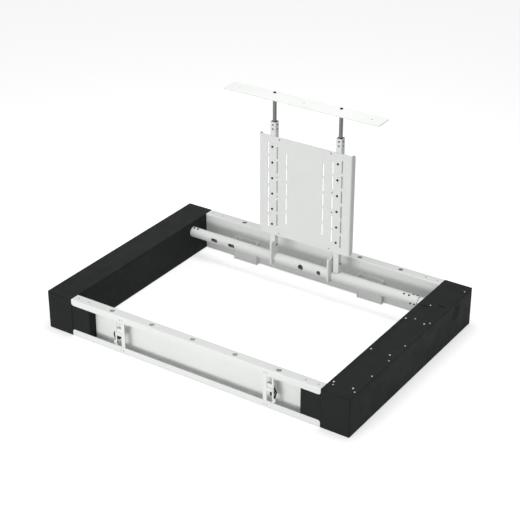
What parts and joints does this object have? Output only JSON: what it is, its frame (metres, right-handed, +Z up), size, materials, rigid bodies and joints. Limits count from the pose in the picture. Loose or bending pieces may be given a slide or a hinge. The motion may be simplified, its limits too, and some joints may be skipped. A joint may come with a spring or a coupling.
{
  "type": "motorized display lift",
  "caption": "Flat floor frame whose motor-driven cross tube swings a slotted display plate with a height-set lid strip from folded flat to upright.",
  "frame": {"origin": "centre of the frame's footprint, on its underside", "axes": "+X from the left box to the right box, which holds the drive; +Y from the front rail to the back rail; +Z up"},
  "size_m": [1.6, 1.1, 0.988],
  "materials": {
    "black_coated_sheet": "satin black powder coat",
    "white_coated_steel": "satin light grey-white powder coat",
    "ground_steel": "ground, dull",
    "zinc_screws": "zinc plated",
    "dark_screws": "black oxide",
    "turned_steel": "turned, lightly oiled",
    "cast_housing": "painted casting",
    "bronze": "sintered bronze",
    "gear_steel": "milled",
    "drive_aluminium": "anodised natural",
    "motor_case": "black enamel",
    "black_plastic": "fine moulded texture",
    "black_rubber": "matt",
    "circuit_board": "green solder mask"
  },
  "bodies": {
    "frame": {"actuator_end_cap": "drive_aluminium", "actuator_tube": "drive_aluminium", "back_rail": "white_coated_steel", "bearing_bushes": "bronze", "catch_buffers": "black_rubber", "catch_pivots": "zinc_screws", "catch_screws": "zinc_screws", "control_board": "circuit_board", "control_case": "black_plastic", "drive_motor": "motor_case", "front_rail": "white_coated_steel", "inner_wall_screws": "dark_screws", "left_bearing_housing": "cast_housing", "left_box_stiffeners": "gear_steel", "left_catch_bracket": "white_coated_steel", "left_rail_bracket": "white_coated_steel", "left_side_box": "black_coated_sheet", "left_side_cover": "black_coated_sheet", "motor_gearbox": "drive_aluminium", "outer_bearing_plate": "cast_housing", "power_inlet": "black_plastic", "rack_guide": "gear_steel", "rail_bracket_screws": "zinc_screws", "rail_joint_blocks": "black_coated_sheet", "rail_joint_screws": "zinc_screws", "right_bearing_housing": "cast_housing", "right_box_cross_plates": "gear_steel", "right_catch_bracket": "white_coated_steel", "right_rail_bracket": "white_coated_steel", "right_side_box": "black_coated_sheet", "right_side_cover": "black_coated_sheet", "side_cover_screws": "dark_screws"},
    "swing": {"cross_tube": "white_coated_steel", "cross_tube_screws": "dark_screws", "left_stub_shaft": "turned_steel", "right_stub_shaft": "turned_steel", "left_shaft_collar": "turned_steel", "left_column": "white_coated_steel", "right_column": "white_coated_steel", "left_swing_arm": "white_coated_steel", "right_swing_arm": "white_coated_steel", "display_plate": "white_coated_steel", "display_plate_screws": "dark_screws", "rod_sleeves": "black_plastic", "column_screws": "dark_screws", "drive_gear": "gear_steel", "drive_gear_key": "turned_steel"},
    "lid": {"left_height_rod": "ground_steel", "right_height_rod": "ground_steel", "lid_strip": "white_coated_steel", "lid_strip_screws": "dark_screws"},
    "rack_drive": {"push_rod": "ground_steel", "lead_nut": "bronze", "gear_rack": "gear_steel", "rack_cross_pin": "turned_steel"},
    "lead_screw": {"lead_screw": "turned_steel"},
    "left_catch_block": {"left_catch_block": "white_coated_steel"},
    "right_catch_block": {"right_catch_block": "white_coated_steel"},
    "left_catch_lever": {"left_catch_lever": "dark_screws"},
    "right_catch_lever": {"right_catch_lever": "dark_screws"}
  },
  "joints": [
    {"name": "display_swing", "type": "hinge", "parent": "frame", "child": "swing", "pos_m": [0, 0.385, 0.1365], "axis": [1, 0, 0], "range_deg": [0, 90]},
    {"name": "lid_height", "type": "slide", "parent": "swing", "child": "lid", "axis": [0, 0, 1], "range_m": [-0.1, 0.02]},
    {"name": "rack_slide", "type": "slide", "parent": "frame", "child": "rack_drive", "axis": [0, 1, 0], "range_m": [0, 0.0629]},
    {"name": "lead_screw_spin", "type": "hinge", "parent": "frame", "child": "lead_screw", "pos_m": [0.7, 0.05, 0.084], "axis": [0, 1, 0], "range_deg": [0, 1131]},
    {"name": "left_catch_slide", "type": "slide", "parent": "frame", "child": "left_catch_block", "axis": [0, 0, 1], "range_m": [0, 0.032]},
    {"name": "right_catch_slide", "type": "slide", "parent": "frame", "child": "right_catch_block", "axis": [0, 0, 1], "range_m": [0, 0.032]},
    {"name": "left_catch_turn", "type": "hinge", "parent": "frame", "child": "left_catch_lever", "pos_m": [-0.41, -0.5412, 0.047], "axis": [0, -1, 0], "range_deg": [0, 60]},
    {"name": "right_catch_turn", "type": "hinge", "parent": "frame", "child": "right_catch_lever", "pos_m": [0.427, -0.5412, 0.047], "axis": [0, 1, 0], "range_deg": [0, 60]}
  ],
  "couplings": [
    {"joint": "rack_slide", "follows": "display_swing", "m_per_rad": 0.04},
    {"joint": "lead_screw_spin", "follows": "display_swing", "ratio": 12.566}
  ]
}
